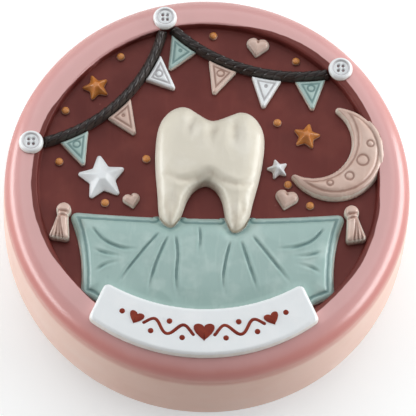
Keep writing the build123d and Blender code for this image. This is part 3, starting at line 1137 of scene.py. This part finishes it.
def heartOnBanner(name, centre, size, turn):
    plan = ornament
    place = (0, 0, plan["top"] * mm)
    disc = dict(vertices=56, radius=size * mm, fill_type="NGON", location=place)
    piece = fresh(name, bpy.ops.mesh.primitive_circle_add, **disc)
    bpy.ops.object.transform_apply(location=True, rotation=False, scale=False)
    points = pointsOf(piece)
    for point in points:
        # the circle's points are moved out on to the well-known heart curve
        angle = math.atan2(point[1], point[0])
        fromTop = math.pi / 2 - angle
        x = 16 * math.cos(angle) ** 3
        y = 13 * math.sin(angle) - 5 * math.cos(2 * fromTop) - 2 * math.cos(3 * fromTop)
        point[0], point[1] = placed([(x * size / 17, (y + 2) * size / 17)], centre, turn)[0]
        point[2] -= plan["rise"] / 2
    setPoints(piece, points)
    openMesh()
    bpy.ops.mesh.extrude_region_move(TRANSFORM_OT_translate={"value": (0, 0, plan["rise"] * mm)})
    bpy.ops.mesh.inset(thickness=size * 0.07 * mm, depth=0.04 * mm)
    closeMesh(merge=False)
    bpy.ops.object.shade_smooth_by_angle(angle=math.radians(60))
    hold(piece, "lid", "field_dark_red", russet)


def beadOnBanner(name, centre, radius):
    place = (centre[0] * mm, centre[1] * mm, (ornament["top"] - 0.05) * mm)
    ball = dict(segments=24, ring_count=12, radius=radius * mm, location=place)
    bead = fresh(name, bpy.ops.mesh.primitive_uv_sphere_add, **ball)
    bpy.ops.transform.resize(value=(1, 1, ornament["flat"]))
    bpy.ops.object.transform_apply(location=True, rotation=False, scale=True)
    bpy.ops.object.shade_smooth()
    hold(bead, "lid", "field_dark_red", russet)


def makeOrnament():
    plan = ornament
    for count, (share, size) in enumerate(plan["hearts"]):
        heartOnBanner("banner_heart_%d" % count, onBanner(share), size, share * plan["half"])
    for count, (share, lift) in enumerate(plan["dots"]):
        beadOnBanner("banner_bead_%d" % count, onBanner(share, -lift * plan["wave"] * 1.25), plan["dot"])
    shares = np.linspace(*plan["line"], 70)
    lifts = plan["wave"] * np.sin((shares - 0.19) / plan["waves"] * math.pi)
    for side, name in ((-1, "banner_vine_left"), (1, "banner_vine_right")):
        points = [onBanner(side * share, lift) for share, lift in zip(shares, lifts)]
        strokeOnBanner(name, points)
        for end in (0, -1):
            beadOnBanner("%s_end_%d" % (name, abs(end)), points[end], plan["thick"] / 2)


makeOrnament()
print("banner ornament painted")


# Floor, light and camera

studio = dict(
    floorSize=0.7,  # metres
    floorDrop=0.02,  # millimetres under the box
    paper=(tint(236, 236, 236), tint(240, 240, 240)),
    glow=tint(152, 158, 161),  # makes the paper show as pale as its surroundings
    bounce=tint(198, 187, 180),  # what the floor gives back to the box
    surround=(1.0, 0.83, 0.73, 1.0),  # light from all round
    surroundStrength=0.09, lampColour=(0.97, 1.0, 1.0),
    target=0.015,  # the lamps point at this height, in metres
    lamps={
        # name: azimuth from +X, elevation, distance, width and height in metres, watts
        "back_softbox": (92, 62, 0.60, 0.90, 0.80, 3.25),
        "left_softbox": (180, 5, 0.42, 0.54, 0.20, 2.00),
        "right_softbox": (2, 8, 0.50, 0.60, 0.28, 3.35),
    },
)


def makeFloor():
    plan = studio
    place = (0, 0, -plan["floorDrop"] * mm)
    floor = fresh("studio_floor", bpy.ops.mesh.primitive_plane_add, size=plan["floorSize"], location=place)
    paint = Paint("studio_floor_paint")
    paper = paint.cloud(40.0)
    paint.colour = paint.blend(paper * 0.3, *plan["paper"])
    bump = dict(strength=0.05, depth=0.05)
    paint.finish(0.9 + (paper - 0.5) * 0.05, paint.cloud(2.0), bump, dict(matt, weight=0.0))
    paint.put("Emission Color", plan["glow"])
    paint.put("Emission Strength", 1.0)
    plain = paint.node("ShaderNodeBsdfDiffuse", inputs={"Color": plan["bounce"]})
    paint.seenApart(plain, Wire(paint, paint.shader.outputs[0]), "Material Output")
    floor.data.materials.append(paint.material)


def makeWorld():
    world = bpy.data.worlds.new("studio")
    bpy.context.scene.world = world
    world.use_nodes = True
    dim = world.node_tree.nodes["Background"]
    dim.inputs["Color"].default_value = studio["surround"]
    dim.inputs["Strength"].default_value = studio["surroundStrength"]
    sky = Nodes(world.node_tree)
    white = sky.node("ShaderNodeBackground", inputs={"Color": (1, 1, 1, 1)})
    sky.seenApart(Wire(sky, dim.outputs[0]), white, "World Output")


def makeLamps():
    target = Vector((0, 0, studio["target"]))
    for name, (azimuth, elevation, distance, width, height, watts) in studio["lamps"].items():
        light = bpy.data.lights.new(name, "AREA")
        light.shape = "RECTANGLE"
        light.size, light.size_y = width, height
        light.energy = watts
        light.color = studio["lampColour"]
        lamp = linked(name, light)
        flat, rise = around(distance, elevation)
        x, y = around(flat, azimuth)
        lamp.location = target + Vector((x, y, rise))
        lamp.rotation_euler = (lamp.location - target).to_track_quat("Z", "Y").to_euler()


cameraPlan = dict(
    elevation=69.3, roll=4.7,
    turn=-4.4,  # the whole view is turned this much about the upright axis
    distance=400.0, pixels=416,
    focal=2702.0,  # focal length in pixels of that frame
    sensor=36.0,
    aside=0.12,  # how far the camera stands off the line to the seam's middle
    above=-2.73,
)


def makeCamera():
    plan = cameraPlan
    elevation, roll = math.radians(plan["elevation"]), math.radians(plan["roll"])
    right = Vector((1, 0, 0))
    rise = Vector((0, math.sin(elevation), math.cos(elevation)))
    back = Vector((0, -math.cos(elevation), math.sin(elevation)))
    side = math.cos(roll) * right + math.sin(roll) * rise
    top = math.cos(roll) * rise - math.sin(roll) * right
    centre = Vector((0, 0, shell["seam"]))
    place = centre + plan["aside"] * side + plan["above"] * top + plan["distance"] * back
    view = Matrix((side, top, back)).transposed().to_4x4()
    view.translation = place * mm
    camera = bpy.data.cameras.new("photo_camera")
    camera.sensor_width = plan["sensor"]
    camera.lens = plan["focal"] / plan["pixels"] * plan["sensor"]
    camera.clip_start = 0.01
    holder = linked("photo_camera", camera)
    holder.matrix_world = Matrix.Rotation(math.radians(plan["turn"]), 4, "Z") @ view
    bpy.context.scene.camera = holder


makeFloor()
makeWorld()
makeLamps()
makeCamera()
bpy.context.scene.view_settings.view_transform = "Standard"
print("studio set")
